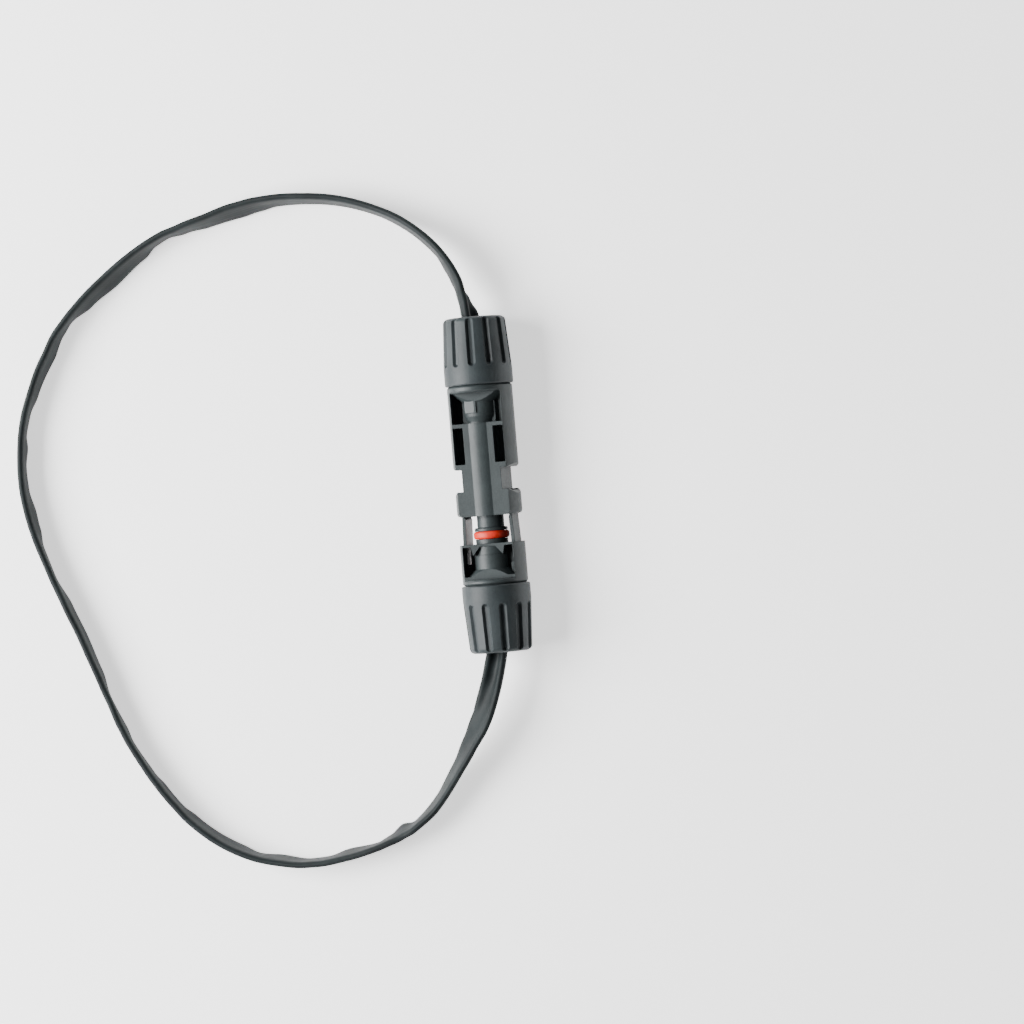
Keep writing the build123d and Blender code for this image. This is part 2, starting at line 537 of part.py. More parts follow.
def socket_housing():
    """Short housing: front rib, windows, cone, probe with the seal groove, and screw neck."""
    body = flat_sided(0, SOCKET_SHOULDER_START + SHOULDER_LAP, BODY_RADIUS)
    window_end = SOCKET_SHOULDER_START - SOCKET_BAND
    hollow = block(-WINDOW_OUTER, WINDOW_OUTER, SOCKET_RIB, window_end, MID_PLATE, FLAT_HALF + 1)
    hollow += mirror(hollow, Plane.XY)
    wide = BODY_RADIUS - SOCKET_RIM
    low = SOCKET_CORE - STEP_RISE
    core = turned((-1, 0), (-1, low), (STEP_AT, low), (STEP_AT, SOCKET_CORE),
                  (SOCKET_SHOULDER_START + 2, SOCKET_CORE), (SOCKET_SHOULDER_START + 2, 0))
    core &= block(-REAR_WEB, REAR_WEB, -1, SOCKET_SHOULDER_START + 2, -FLAT_HALF, FLAT_HALF)
    cone = turned((SOCKET_CONE_START, 0), (SOCKET_CONE_START, PROBE_BASE), (SOCKET_SHOULDER_START, wide),
                  (SOCKET_SHOULDER_START + 2, wide), (SOCKET_SHOULDER_START + 2, 0))
    seat = block(HINGE_X - KNUCKLE_RADIUS - SEAT_WALL + 0.4, WINDOW_OUTER + 0.5, KNUCKLE_FRONT,
                 SOCKET_SHOULDER_START, -KNUCKLE_HALF - RUNNING, KNUCKLE_HALF + RUNNING)
    gusset_foot = SOCKET_RIB - 0.2
    gusset = prism([(PROBE_BASE * 0.45, gusset_foot), (WINDOW_INNER + GUSSET_SPREAD, gusset_foot),
                    (WINDOW_INNER, SOCKET_RIB + GUSSET_LENGTH)], 0, FLAT_HALF)
    gussets = both_sides(gusset + mirror(gusset, Plane.XY))
    body -= hollow - core - cone - both_sides(seat) - gussets
    body += shoulder_ring(SOCKET_SHOULDER_START, SOCKET_BODY_LENGTH)
    body += Pos(0, SOCKET_BODY_LENGTH, 0) * screw_neck()
    body += probe()
    body -= finger_pockets()
    chamber = SOCKET_BODY_LENGTH - CHAMBER_DEPTH
    chamber_end = SOCKET_BODY_LENGTH + CAGE_START + RUNNING
    body -= turned((-PROBE_LENGTH - 1, 0), (-PROBE_LENGTH - 1, PROBE_BORE), (chamber, PROBE_BORE),
                   (chamber, CHAMBER_RADIUS), (chamber_end, CHAMBER_RADIUS), (chamber_end, 0))
    return body


def probe():
    """Probe that enters the pin housing, with its base, the ring seal's groove and a flange."""
    floor = RING_RADIUS - RING_SECTION - SLIDE_FIT
    flange_end = FLANGE_START + FLANGE_LENGTH
    flange_low = FLANGE_RADIUS - GAP
    return turned((0.5, 0), (0.5, PROBE_BASE), (-PROBE_BASE_LENGTH, PROBE_BASE),
                  (-PROBE_BASE_LENGTH, floor), (-FLANGE_START, floor), (-FLANGE_START, FLANGE_RADIUS),
                  (GAP - flange_end, FLANGE_RADIUS), (-flange_end, flange_low), (-flange_end, PROBE_RADIUS),
                  (0.5 - PROBE_LENGTH, PROBE_RADIUS), (-PROBE_LENGTH, PROBE_RADIUS - END_BEVEL),
                  (-PROBE_LENGTH, 0))


def seal_ring():
    """Red ring seal in the probe's groove."""
    inner = RING_RADIUS - RING_SECTION
    start = -PROBE_BASE_LENGTH - SLIDE_FIT - RING_WIDTH
    ring = tube(start, start + RING_WIDTH, RING_RADIUS, inner)
    rims = ring.edges().filter_by(GeomType.CIRCLE).filter_by(lambda rim: rim.radius > RING_RADIUS - 0.01)
    return fillet(rims, RING_SECTION * 0.55)


def latch_finger(side):
    """Sprung latch finger: knuckle, flat shank and ramped barb, leaning as at rest. side is +1 or -1."""
    reach = FINGER_ROOT + FINGER_REACH
    barb = BARB_FROM_ROOT
    relieved = FINGER_INNER + BARB_RELIEF
    outline = [(FINGER_INNER, 0), (FINGER_OUTER, 0), (FINGER_OUTER, -barb), (BARB_OUTER, -barb),
               (BARB_OUTER, BARB_TIP_RAMP - reach), (FINGER_OUTER - BARB_TIP_DROP, -reach),
               (relieved, -reach), (relieved, -barb), (FINGER_INNER, BARB_HEEL - barb)]
    finger = prism(outline, -FINGER_HALF_HEIGHT, FINGER_HALF_HEIGHT)
    finger &= bar(-reach - 1, 1, BARB_ROUND)
    narrow = KNUCKLE_RADIUS + KNUCKLE_SHOULDER
    above = block(0, BODY_RADIUS, -narrow, 1, KNUCKLE_HALF, FINGER_HALF_HEIGHT + 1)
    finger -= above
    finger -= mirror(above, Plane.XY)
    finger += Pos(HINGE_X, 0, 0) * Cylinder(KNUCKLE_RADIUS, 2 * KNUCKLE_HALF)
    finger = Pos(HINGE_X, FINGER_ROOT, 0) * Rot(0, 0, -REST_LEAN) * Pos(-HINGE_X, 0, 0) * finger
    return finger if side > 0 else mirror(finger, Plane.YZ)


def socket_contact():
    """Tubular contact that receives the pin, with its crimp barrel."""
    end = SOCKET_BODY_LENGTH + CONTACT_STOP + 0.1
    groove = SLEEVE_BORE + LAMELLA_SECTION + RUNNING
    groove_start = LAMELLA_START - SLEEVE_REACH
    groove_end = groove_start + LAMELLA_LENGTH + 0.2
    floor = SLEEVE_BORE_DEPTH - SLEEVE_REACH
    lip = GAP - SLEEVE_REACH
    sleeve = turned((-SLEEVE_REACH, SLEEVE_BORE + GAP), (-SLEEVE_REACH, SLEEVE_RADIUS - 0.2),
                    (lip, SLEEVE_RADIUS), (end, SLEEVE_RADIUS), (end, 0), (floor, 0), (floor, SLEEVE_BORE),
                    (groove_end, SLEEVE_BORE), (groove_end, groove), (groove_start, groove),
                    (groove_start, SLEEVE_BORE), (lip, SLEEVE_BORE))
    return sleeve + Pos(0, SOCKET_BODY_LENGTH, 0) * contact_rear()


def lamella():
    """Slotted spring band inside the socket contact that grips the pin."""
    inner = SLEEVE_BORE + 0.02
    start = LAMELLA_START + RUNNING - SLEEVE_REACH
    end = start + LAMELLA_LENGTH
    band = tube(start, end, inner + LAMELLA_SECTION, inner)
    half = LAMELLA_SLIT / 2
    slit = block(-half, half, start + LAMELLA_RIM, end - LAMELLA_RIM, 0, SLEEVE_RADIUS)
    for cut in around(slit, LAMELLA_SLITS):
        band -= cut
    return band


# ---------------------------------------------------------------- lead
def route_points():
    """The loop's route in the row's frame, from the pin gland round to the socket gland."""
    out = PAIR_LENGTH / 2 + EXIT_RUN
    pin_start = PIN_SEAM_Y + CORD_START
    socket_start = SOCKET_SEAM_Y - CORD_START
    return [
        (0, pin_start, AXIS_Z), (0, out, AXIS_Z), (-12, 72.5, 8.2), (-27, 82, 5.4), (-46.5, 87, 3.4),
        (-68.5, 86.5, LIE), (-94, 80.5, LIE), (-121, 63, LIE), (-139.5, 38, LIE), (-144, 8, LIE),
        (-134.5, -21, LIE), (-119, -60, LIE), (-101, -90.5, LIE), (-76, -104.5, LIE), (-50, -104, LIE),
        (-31, -96.5, 3.8), (-12.5, -75.5, 7.4), (0, -out, AXIS_Z), (0, socket_start, AXIS_Z),
    ]


SPLIT_RUN = 13               # the run, counted from 0, in whose middle the two halves meet


def bend_radii(points):
    """Each corner's radius: 0.45 of its shorter run over the tangent of half the turn."""
    radii = []
    for a, b, c in zip(points, points[1:], points[2:]):
        first = Vector(*b) - Vector(*a)
        second = Vector(*c) - Vector(*b)
        turn = radians(first.get_angle(second))
        radii.append(0.45 * min(first.length, second.length) / tan(turn / 2))
    return radii


def lead_halves():
    """The lead's two halves, which meet in the middle of one straight run."""
    points = route_points()
    radii = bend_radii(points)
    before = points[SPLIT_RUN]
    after = points[SPLIT_RUN + 1]
    middle = tuple((a + b) / 2 for a, b in zip(before, after))
    pin_half = cord(points[:SPLIT_RUN + 1] + [middle], radii[:SPLIT_RUN], "lead_pin_half")
    socket_half = cord([middle] + points[SPLIT_RUN + 1:], radii[SPLIT_RUN:], "lead_socket_half")
    return pin_half, socket_half


def cord(points, radii, name):
    """Round stand-in for the folded flat lead: straight runs joined by tangent arcs."""
    path = FilletPolyline(*points, radius=radii)
    start = Plane(origin=path @ 0, z_dir=path % 0)
    solid = sweep(start * Circle(CORD_RADIUS), path)
    expected = pi * CORD_RADIUS ** 2 * path.length
    print(name, "length", round(path.length, 1), "radii", [round(radius, 1) for radius in radii],
          "volume ratio", round(solid.volume / expected, 4))
    return solid


# ---------------------------------------------------------------- assembly
def place_pin(piece, from_seam=False):
    """Puts a pin-side piece in the row's frame, from the mouth or from the nut seam."""
    station = PIN_SEAM_Y if from_seam else PIN_MOUTH_Y
    return Pos(0, station, AXIS_Z) * piece


def place_socket(piece, from_seam=False):
    """Puts a socket-side piece in the row's frame, turned to face the pin side."""
    station = SOCKET_SEAM_Y if from_seam else SOCKET_FRONT_Y
    return Pos(0, station, AXIS_Z) * Rot(0, 0, 180) * piece


def assembly():
    """Every node's name and solid."""
    lead_pin_half, lead_socket_half = lead_halves()
    nodes = {
        "pin_housing": place_pin(pin_housing()),
        "pin_contact": place_pin(pin_contact()),
        "socket_housing": place_socket(socket_housing()),
        "socket_seal_ring": place_socket(seal_ring()),
        "socket_contact": place_socket(socket_contact()),
        "socket_contact_spring": place_socket(lamella()),
        "latch_finger_left": place_socket(latch_finger(1)),
        "latch_finger_right": place_socket(latch_finger(-1)),
        "lead_pin_half": lead_pin_half,
        "lead_socket_half": lead_socket_half,
    }
    gland = {
        "nut": gland_nut(),
        "clamp_cage": clamp_cage(),
        "cable_seal": cable_seal(),
        "retaining_clip": retaining_clip(),
        "braid_end": braid_end(),
        "cable_tail": cable_tail(),
    }
    for name, piece in gland.items():
        nodes["pin_" + name] = place_pin(piece, from_seam=True)
        nodes["socket_" + name] = place_socket(piece, from_seam=True)
    return nodes


def main():
    """Writes one STEP file for each node."""
    os.makedirs("parts", exist_ok=True)
    for name, piece in assembly().items():
        piece.label = name
        export_step(piece, f"parts/{name}.step")


main()
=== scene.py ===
"""Looks of the solar cable connector: moulded housings, grooved gland nuts, a red ring seal and a flat sleeved lead.

Metres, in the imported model's frame: +Y runs along the connector from its socket side to its pin side, +Z is up,
and the lead's loop lies to the -X side on the ground.
"""

import bisect
import logging
import math
from dataclasses import dataclass
from enum import Enum

import bmesh
import bpy
from mathutils import Matrix, Vector


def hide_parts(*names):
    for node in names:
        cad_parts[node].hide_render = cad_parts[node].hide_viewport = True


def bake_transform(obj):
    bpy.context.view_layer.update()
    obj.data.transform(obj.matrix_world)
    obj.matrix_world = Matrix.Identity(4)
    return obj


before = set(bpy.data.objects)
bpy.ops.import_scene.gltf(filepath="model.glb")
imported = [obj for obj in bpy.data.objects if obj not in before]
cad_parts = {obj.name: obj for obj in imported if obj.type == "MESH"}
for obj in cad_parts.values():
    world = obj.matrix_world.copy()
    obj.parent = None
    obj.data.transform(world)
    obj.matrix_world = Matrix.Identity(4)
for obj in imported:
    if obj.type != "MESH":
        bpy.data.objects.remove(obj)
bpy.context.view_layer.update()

MM = 0.001
WAVE_PHASE = 20.0            # radians that a wave texture runs through in one unit at a scale of 1
log = logging.getLogger("connector")


# ---------------------------------------------------------------- small helpers
def linear(hex_colour: str) -> tuple[float, float, float, float]:
    """Turns an sRGB hex colour into linear red, green, blue and alpha.

    Args:
        hex_colour: Six hex digits with a leading hash.

    Returns:
        The linear colour with an alpha of 1.
    """
    digits = hex_colour.lstrip("#")
    channels = [int(digits[i:i + 2], 16) / 255 for i in (0, 2, 4)]
    curve = [c / 12.92 if c <= 0.04045 else ((c + 0.055) / 1.055) ** 2.4 for c in channels]
    return curve[0], curve[1], curve[2], 1.0


def per_metre(size_mm: float) -> float:
    """Gives the texture scale whose features are size_mm wide on coordinates in metres."""
    return 1.0 / (size_mm * MM)


def bands_per_metre(pitch_mm: float) -> float:
    """Gives the wave texture's scale whose bands lie pitch_mm apart on coordinates in metres."""
    return math.tau / (WAVE_PHASE * pitch_mm * MM)


def blend(a: float, b: float, share: float) -> float:
    """Gives the value between a and b at a share from 0 to 1."""
    return a + (b - a) * share


def smooth(share: float) -> float:
    """Eases a share from 0 to 1 in and out."""
    held = min(1.0, max(0.0, share))
    return held * held * (3 - 2 * held)


class Coordinate(Enum):
    """Where a finish's pattern is held."""

    OBJECT = "Object"
    UV = "UV"


# ---------------------------------------------------------------- finishes
class NodeSheet:
    """One material's node tree, to which nodes are added with their settings and links."""

    def __init__(self, name: str) -> None:
        """Starts an empty material with its output and surface shader."""
        self.material = bpy.data.materials.new(name)
        self.material.use_nodes = True
        self.tree = self.material.node_tree
        self.tree.nodes.clear()
        self.output = self.add("ShaderNodeOutputMaterial")
        self.shader = self.add("ShaderNodeBsdfPrincipled")
        self.tree.links.new(self.shader.outputs["BSDF"], self.output.inputs["Surface"])

    def add(self, kind: str, settings: dict | None = None, inputs: dict | None = None) -> bpy.types.Node:
        """Adds a node with its settings and its inputs.

        Args:
            kind: The node's type.
            settings: The node's own properties by name.
            inputs: Values or output sockets by input name or index.

        Returns:
            The new node.
        """
        node = self.tree.nodes.new(kind)
        for key, value in (settings or {}).items():
            setattr(node, key, value)
        for key, value in (inputs or {}).items():
            if isinstance(value, bpy.types.NodeSocket):
                self.tree.links.new(value, node.inputs[key])
            else:
                node.inputs[key].default_value = value
        return node

    def ramp(self, factor: bpy.types.NodeSocket, stops: list[tuple[float, tuple]]) -> bpy.types.NodeSocket:
        """Adds a colour ramp.

        Args:
            factor: The socket that drives the ramp.
            stops: Place and linear colour of each stop.

        Returns:
            The ramp's colour output.
        """
        node = self.add("ShaderNodeValToRGB", inputs={"Fac": factor})
        elements = node.color_ramp.elements
        while len(elements) < len(stops):
            elements.new(0.5)
        for element, (place, colour) in zip(elements, stops):
            element.position = place
            element.color = colour
        return node.outputs["Color"]

    def shade(self, inputs: dict) -> bpy.types.Material:
        """Sets the surface shader's inputs and gives the material back."""
        for key, value in inputs.items():
            if isinstance(value, bpy.types.NodeSocket):
                self.tree.links.new(value, self.shader.inputs[key])
            else:
                self.shader.inputs[key].default_value = value
        return self.material


@dataclass(frozen=True)
class MouldedPlastic:
    """Glass-filled polyamide out of a spark-eroded mould: satin, finely pitted, with slight flow marks."""

    name: str
    light: str
    dark: str
    roughness: float = 0.42
    grain_mm: float = 0.35       # erosion pits, drawn about twice as coarse as real so that they show
    flow_mm: float = 7.0         # soft flow marks
    grain_depth: float = 0.035   # millimetres
    edge_round_mm: float = 0.22  # softened mould edges

    def make(self) -> bpy.types.Material:
        """Builds the material."""
        sheet = NodeSheet(self.name)
        place = sheet.add("ShaderNodeTexCoord").outputs["Object"]
        flow = sheet.add("ShaderNodeTexNoise", inputs={
            "Vector": place, "Scale": per_metre(self.flow_mm), "Detail": 3.0, "Roughness": 0.55})
        grain = sheet.add("ShaderNodeTexNoise", inputs={
            "Vector": place, "Scale": per_metre(self.grain_mm), "Detail": 2.0, "Roughness": 0.6})
        pits = sheet.add("ShaderNodeTexVoronoi", inputs={
            "Vector": place, "Scale": per_metre(self.grain_mm * 1.6)})
        tone = sheet.add("ShaderNodeMath", {"operation": "MULTIPLY_ADD"}, {
            0: grain.outputs["Fac"], 1: 0.45, 2: flow.outputs["Fac"]})
        colour = sheet.ramp(tone.outputs[0], [(0.45, linear(self.dark)), (0.95, linear(self.light))])
        gloss = sheet.add("ShaderNodeMapRange", inputs={
            "Value": grain.outputs["Fac"], "From Min": 0.3, "From Max": 0.7,
            "To Min": self.roughness - 0.05, "To Max": self.roughness + 0.08})
        relief = sheet.add("ShaderNodeMath", {"operation": "MULTIPLY_ADD"}, {
            0: pits.outputs["Distance"], 1: 0.6, 2: grain.outputs["Fac"]})
        edges = sheet.add("ShaderNodeBevel", {"samples": 4}, {"Radius": self.edge_round_mm * MM})
        bump = sheet.add("ShaderNodeBump", inputs={
            "Strength": 0.5, "Distance": self.grain_depth * MM, "Height": relief.outputs[0],
            "Normal": edges.outputs["Normal"]})
        return sheet.shade({
            "Base Color": colour, "Roughness": gloss.outputs["Result"], "Normal": bump.outputs["Normal"],
            "IOR": 1.53, "Specular IOR Level": 0.25})


@dataclass(frozen=True)
class SoftRubber:
    """Moulded elastomer: a faint bloom over a soft matt body."""

    name: str
    light: str
    dark: str
    roughness: float = 0.5
    sheen: float = 0.15

    def make(self) -> bpy.types.Material:
        """Builds the material."""
        sheet = NodeSheet(self.name)
        place = sheet.add("ShaderNodeTexCoord").outputs["Object"]
        bloom = sheet.add("ShaderNodeTexNoise", inputs={
            "Vector": place, "Scale": per_metre(1.6), "Detail": 4.0, "Roughness": 0.6})
        fine = sheet.add("ShaderNodeTexNoise", inputs={"Vector": place, "Scale": per_metre(0.25), "Detail": 2.0})
        colour = sheet.ramp(bloom.outputs["Fac"], [(0.3, linear(self.dark)), (0.7, linear(self.light))])
        gloss = sheet.add("ShaderNodeMapRange", inputs={
            "Value": bloom.outputs["Fac"], "To Min": self.roughness - 0.08, "To Max": self.roughness + 0.12})
        bump = sheet.add("ShaderNodeBump", inputs={
            "Strength": 0.4, "Distance": 0.02 * MM, "Height": fine.outputs["Fac"]})
        return sheet.shade({
            "Base Color": colour, "Roughness": gloss.outputs["Result"], "Normal": bump.outputs["Normal"],
            "Sheen Weight": self.sheen, "Sheen Roughness": 0.5, "IOR": 1.42})


@dataclass(frozen=True)
class TurnedMetal:
    """Plated or bare metal with fine turning marks round the connector's axis."""

    name: str
    light: str
    dark: str
    roughness: float = 0.28
    ring_mm: float = 0.25        # spacing of the turning marks

    def make(self) -> bpy.types.Material:
        """Builds the material."""
        sheet = NodeSheet(self.name)
        place = sheet.add("ShaderNodeTexCoord").outputs["Object"]
        rings = sheet.add("ShaderNodeTexWave", {"bands_direction": "Y"}, {
            "Vector": place, "Scale": bands_per_metre(self.ring_mm), "Distortion": 0.4, "Detail": 1.0})
        haze = sheet.add("ShaderNodeTexNoise", inputs={"Vector": place, "Scale": per_metre(2.5), "Detail": 3.0})
        colour = sheet.ramp(haze.outputs["Fac"], [(0.3, linear(self.dark)), (0.7, linear(self.light))])
        gloss = sheet.add("ShaderNodeMapRange", inputs={
            "Value": haze.outputs["Fac"], "To Min": self.roughness - 0.06, "To Max": self.roughness + 0.14})
        bump = sheet.add("ShaderNodeBump", inputs={
            "Strength": 0.3, "Distance": 0.01 * MM, "Height": rings.outputs["Fac"]})
        return sheet.shade({
            "Base Color": colour, "Metallic": 1.0, "Roughness": gloss.outputs["Result"],
            "Normal": bump.outputs["Normal"]})


@dataclass(frozen=True)
class BraidedCopper:
    """Tinned copper braid: fine strands crossing in a diamond pattern."""

    name: str
    light: str
    dark: str
    strand_mm: float = 0.5
    crossing_deg: float = 45.0   # lean of the strands either way

    def make(self) -> bpy.types.Material:
        """Builds the material."""
        sheet = NodeSheet(self.name)
        place = sheet.add("ShaderNodeTexCoord").outputs["Object"]
        heights = []
        for angle in (self.crossing_deg, -self.crossing_deg):
            turned = sheet.add("ShaderNodeMapping", inputs={
                "Vector": place, "Rotation": (0, 0, math.radians(angle))})
            wave = sheet.add("ShaderNodeTexWave", inputs={
                "Vector": turned.outputs["Vector"], "Scale": bands_per_metre(self.strand_mm), "Distortion": 0.5})
            heights.append(wave.outputs["Fac"])
        weave = sheet.add("ShaderNodeMath", {"operation": "MAXIMUM"}, {0: heights[0], 1: heights[1]})
        colour = sheet.ramp(weave.outputs[0], [(0.2, linear(self.dark)), (0.8, linear(self.light))])
        bump = sheet.add("ShaderNodeBump", inputs={
            "Strength": 0.8, "Distance": 0.08 * MM, "Height": weave.outputs[0]})
        return sheet.shade({
            "Base Color": colour, "Metallic": 1.0, "Roughness": 0.38, "Normal": bump.outputs["Normal"]})


@dataclass(frozen=True)
class ShrunkSleeve:
    """Heat-shrunk polyolefin over a flat braid: satin, with the braid's fine cross ribs just showing through."""

    name: str
    light: str
    dark: str
    roughness: float = 0.52
    rib_mm: float = 0.9          # braid's pitch under the sleeve
    rib_slant_deg: float = 28.0  # lean of the braid's ribs across the lead
    streak_mm: float = 0.6       # drawn lengthwise streaks, across the width
    streak_draw: float = 0.06    # their width over their length
    coordinate: Coordinate = Coordinate.UV

    def make(self) -> bpy.types.Material:
        """Builds the material."""
        sheet = NodeSheet(self.name)
        place = sheet.add("ShaderNodeTexCoord").outputs[self.coordinate.value]
        drawn = sheet.add("ShaderNodeMapping", inputs={
            "Vector": place, "Scale": (self.streak_draw, 1.0, 1.0)})
        streaks = sheet.add("ShaderNodeTexNoise", inputs={
            "Vector": drawn.outputs["Vector"], "Scale": per_metre(self.streak_mm), "Detail": 3.0, "Roughness": 0.6})
        cloud = sheet.add("ShaderNodeTexNoise", inputs={
            "Vector": place, "Scale": per_metre(9.0), "Detail": 3.0, "Roughness": 0.5})
        slanted = sheet.add("ShaderNodeMapping", inputs={
            "Vector": place, "Rotation": (0, 0, math.radians(self.rib_slant_deg))})
        ribs = sheet.add("ShaderNodeTexWave", inputs={
            "Vector": slanted.outputs["Vector"], "Scale": bands_per_metre(self.rib_mm), "Distortion": 1.2,
            "Detail": 1.0, "Detail Scale": 1.5})
        grain = sheet.add("ShaderNodeTexNoise", inputs={"Vector": place, "Scale": per_metre(0.3), "Detail": 2.0})
        tone = sheet.add("ShaderNodeMath", {"operation": "MULTIPLY_ADD"}, {
            0: streaks.outputs["Fac"], 1: 0.5, 2: cloud.outputs["Fac"]})
        colour = sheet.ramp(tone.outputs[0], [(0.5, linear(self.dark)), (1.0, linear(self.light))])
        gloss = sheet.add("ShaderNodeMapRange", inputs={
            "Value": streaks.outputs["Fac"], "From Min": 0.3, "From Max": 0.7,
            "To Min": self.roughness - 0.06, "To Max": self.roughness + 0.1})
        relief = sheet.add("ShaderNodeMath", {"operation": "MULTIPLY_ADD"}, {
            0: ribs.outputs["Fac"], 1: 0.35, 2: grain.outputs["Fac"]})
        bump = sheet.add("ShaderNodeBump", inputs={
            "Strength": 0.45, "Distance": 0.05 * MM, "Height": relief.outputs[0]})
        return sheet.shade({
            "Base Color": colour, "Roughness": gloss.outputs["Result"], "Normal": bump.outputs["Normal"],
            "IOR": 1.5, "Specular IOR Level": 0.12})


@dataclass(frozen=True)
class StudioCard:
    """Pale light-table acrylic: it glows a little, which washes the shadows out."""

    name: str
    colour: str
    glow: float

    def make(self) -> bpy.types.Material:
        """Builds the material."""
        sheet = NodeSheet(self.name)
        place = sheet.add("ShaderNodeTexCoord").outputs["Object"]
        cloud = sheet.add("ShaderNodeTexNoise", inputs={"Vector": place, "Scale": per_metre(400.0)})
        colour = sheet.ramp(cloud.outputs["Fac"], [(0.0, linear(self.colour)), (1.0, (0.97, 0.97, 0.97, 1.0))])
        return sheet.shade({
            "Base Color": colour, "Roughness": 0.9, "Emission Color": (1.0, 1.0, 1.0, 1.0),
            "Emission Strength": self.glow})


# ---------------------------------------------------------------- the rigid pieces
@dataclass
class RigidPieces:
    """The connector's moulded, rubber and metal pieces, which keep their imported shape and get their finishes."""

    housing: MouldedPlastic = MouldedPlastic("glass_filled_polyamide_housing", "#3c4344", "#2f3536")
    nut: MouldedPlastic = MouldedPlastic("glass_filled_polyamide_nut", "#394042", "#2d3335", roughness=0.48)
    cage: MouldedPlastic = MouldedPlastic("acetal_clamp_cage", "#2b2c2d", "#1d1e1f", roughness=0.35)
    cable_seal: SoftRubber = SoftRubber("elastomer_cable_seal", "#2a2a2c", "#1a1a1c")
    ring_seal: SoftRubber = SoftRubber("silicone_ring_seal", "#e8341f", "#d02814", roughness=0.5, sheen=0.0)
    contact: TurnedMetal = TurnedMetal("tin_plated_copper_contact", "#dcdad4", "#bdbab2")
    clip: TurnedMetal = TurnedMetal("spring_steel_clip", "#c8c9c8", "#9c9d9c", roughness=0.22)
    braid: BraidedCopper = BraidedCopper("tinned_copper_braid", "#d6cfc2", "#6f675a")
    tail: ShrunkSleeve = ShrunkSleeve(
        "heat_shrunk_sleeve_tail", "#252b2c", "#1a1e1f", coordinate=Coordinate.OBJECT)

    def dress(self) -> None:
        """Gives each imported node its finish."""
        sides = ("pin", "socket")
        kinds = [
            (self.housing, "housing_plastic", [f"{side}_housing" for side in sides]
             + ["latch_finger_left", "latch_finger_right"]),
            (self.nut, "nut_plastic", [f"{side}_nut" for side in sides]),
            (self.cage, "cage_plastic", [f"{side}_clamp_cage" for side in sides]),
            (self.cable_seal, "cable_seal_rubber", [f"{side}_cable_seal" for side in sides]),
            (self.ring_seal, "ring_seal_rubber", ["socket_seal_ring"]),
            (self.contact, "contact_metal", [f"{side}_contact" for side in sides]),
            (self.clip, "clip_steel", [f"{side}_retaining_clip" for side in sides] + ["socket_contact_spring"]),
            (self.braid, "braid_metal", [f"{side}_braid_end" for side in sides]),
            (self.tail, "lead_sleeve", [f"{side}_cable_tail" for side in sides]),
        ]
        for finish, slot, nodes in kinds:
            material = finish.make()
            for node in nodes:
                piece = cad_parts[node]
                piece.data.materials.clear()
                piece.data.materials.append(material)
                log.info("dressed %s as %s", node, material.name)


# ---------------------------------------------------------------- the lead
@dataclass(frozen=True)
class Station:
    """How the flat lead lies at one place: distances in millimetres, angles in degrees.

    lift turns the face that looks into the loop upwards, so a negative lift shows the outer face from above.
    cup curls the width: positive is hollow on the inner face, negative on the outer face.
    inward moves the lead sideways towards the inside of the loop.
    """

    along: float
    lift: float
    cup: float
    inward: float = 0.0


